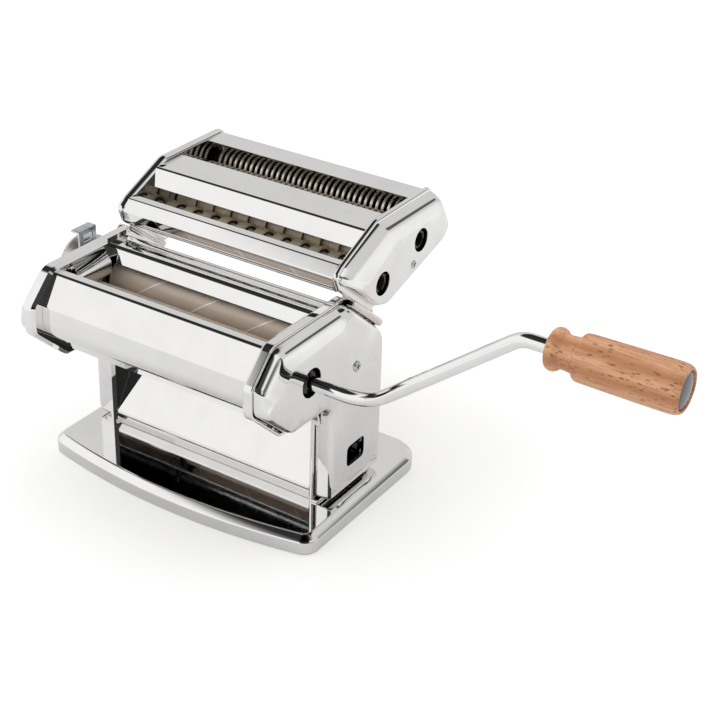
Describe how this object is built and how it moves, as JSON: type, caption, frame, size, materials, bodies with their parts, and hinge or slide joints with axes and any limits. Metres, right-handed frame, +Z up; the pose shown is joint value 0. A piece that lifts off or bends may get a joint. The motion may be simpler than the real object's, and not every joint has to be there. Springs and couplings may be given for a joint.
{
  "type": "pasta machine",
  "caption": "Hand cranked pasta machine on a flat base: smooth rollers with a thickness knob, a bent crank with a wooden grip and a lift-off head with wide and narrow cutters.",
  "frame": {"origin": "on the table under the middle of the base", "axes": "+X along the rollers to the crank, +Y to the back, +Z up"},
  "size_m": [0.3992, 0.1928, 0.1845],
  "materials": {
    "sheet": "polished",
    "steel": "ground",
    "zinc": "zinc plated",
    "nylon": "matt",
    "knob": "satin",
    "chrome_rod": "polished",
    "grip": "varnished",
    "cap": "gloss",
    "wide_rings": "satin",
    "narrow_rings": "satin"
  },
  "bodies": {
    "frame": {"base_plate": "sheet", "side_plate_right": "sheet", "side_plate_left": "sheet", "side_cover_right": "sheet", "side_cover_left": "sheet", "front_panel": "sheet", "rear_panel": "sheet", "chute_plate": "sheet", "dough_guide_right": "sheet", "dough_guide_left": "sheet", "roller_scrapers": "zinc", "tie_rods": "steel", "tie_rod_nuts": "zinc", "roller_bush_right": "nylon", "roller_bush_left": "nylon", "knob_bracket": "zinc", "cover_screws": "zinc"},
    "front_roller": {"front_roller": "steel", "roller_gear_front": "steel"},
    "rear_roller": {"rear_roller": "steel", "roller_gear_rear": "steel"},
    "carriage": {"bearing_block_right": "nylon", "bearing_block_left": "nylon", "carriage_bar": "steel"},
    "knob": {"thickness_knob": "knob"},
    "tab": {"release_tab": "zinc"},
    "crank": {"crank_rod": "chrome_rod", "crank_pin": "steel"},
    "grip": {"crank_grip": "grip", "grip_cap": "cap"},
    "cutter": {"cutter_end_plate_right": "sheet", "cutter_end_plate_left": "sheet", "cutter_end_cover_right": "sheet", "cutter_end_cover_left": "sheet", "cutter_rail_right": "zinc", "cutter_rail_left": "zinc", "cutter_front_sheet": "sheet", "cutter_middle_sheet": "sheet", "cutter_rear_sheet": "sheet", "cutter_tie_rods": "steel"},
    "wide_driver": {"wide_cutter_driver": "wide_rings", "wide_gear_driver": "steel"},
    "wide_follower": {"wide_cutter_follower": "wide_rings", "wide_gear_follower": "steel"},
    "narrow_driver": {"narrow_cutter_driver": "narrow_rings", "narrow_gear_driver": "steel"},
    "narrow_follower": {"narrow_cutter_follower": "narrow_rings", "narrow_gear_follower": "steel"}
  },
  "joints": [
    {"name": "crank_turn", "type": "hinge", "parent": "frame", "child": "front_roller", "pos_m": [0, -0.041, 0.104], "axis": [1, 0, 0], "continuous": true},
    {"name": "crank_pull", "type": "slide", "parent": "front_roller", "child": "crank", "axis": [1, 0, 0], "range_m": [0, 0.015]},
    {"name": "grip_spin", "type": "hinge", "parent": "crank", "child": "grip", "pos_m": [0, -0.041, 0.171], "axis": [1, 0, 0], "continuous": true},
    {"name": "thickness_turn", "type": "hinge", "parent": "frame", "child": "knob", "pos_m": [0, -0.01241, 0.1094], "axis": [1, 0, 0], "range_deg": [0, 48]},
    {"name": "gap_slide", "type": "slide", "parent": "frame", "child": "carriage", "axis": [0, -0.9826, -0.1857], "range_m": [0, 0.0018]},
    {"name": "rear_roller_turn", "type": "hinge", "parent": "carriage", "child": "rear_roller", "pos_m": [0, -0.01152, 0.10957], "axis": [1, 0, 0], "continuous": true},
    {"name": "tab_press", "type": "slide", "parent": "frame", "child": "tab", "axis": [1, 0, 0], "range_m": [0, 0.0018], "stiffness_N_per_m": 600},
    {"name": "cutter_lift", "type": "slide", "parent": "frame", "child": "cutter", "axis": [0, -0.7765, 0.6302], "range_m": [0, 0.035]},
    {"name": "wide_turn", "type": "hinge", "parent": "cutter", "child": "wide_driver", "pos_m": [0, 0.0314, 0.1335], "axis": [1, 0, 0], "continuous": true},
    {"name": "wide_follower_turn", "type": "hinge", "parent": "cutter", "child": "wide_follower", "pos_m": [0, 0.04801, 0.13833], "axis": [1, 0, 0], "continuous": true},
    {"name": "narrow_turn", "type": "hinge", "parent": "cutter", "child": "narrow_driver", "pos_m": [0, 0.07202, 0.1453], "axis": [1, 0, 0], "continuous": true},
    {"name": "narrow_follower_turn", "type": "hinge", "parent": "cutter", "child": "narrow_follower", "pos_m": [0, 0.08863, 0.15013], "axis": [1, 0, 0], "continuous": true}
  ],
  "couplings": [
    {"joint": "thickness_turn", "follows": "gap_slide", "rad_per_m": 465.42},
    {"joint": "rear_roller_turn", "follows": "crank_turn", "ratio": -1},
    {"joint": "wide_follower_turn", "follows": "wide_turn", "ratio": -1},
    {"joint": "narrow_follower_turn", "follows": "narrow_turn", "ratio": -1}
  ]
}
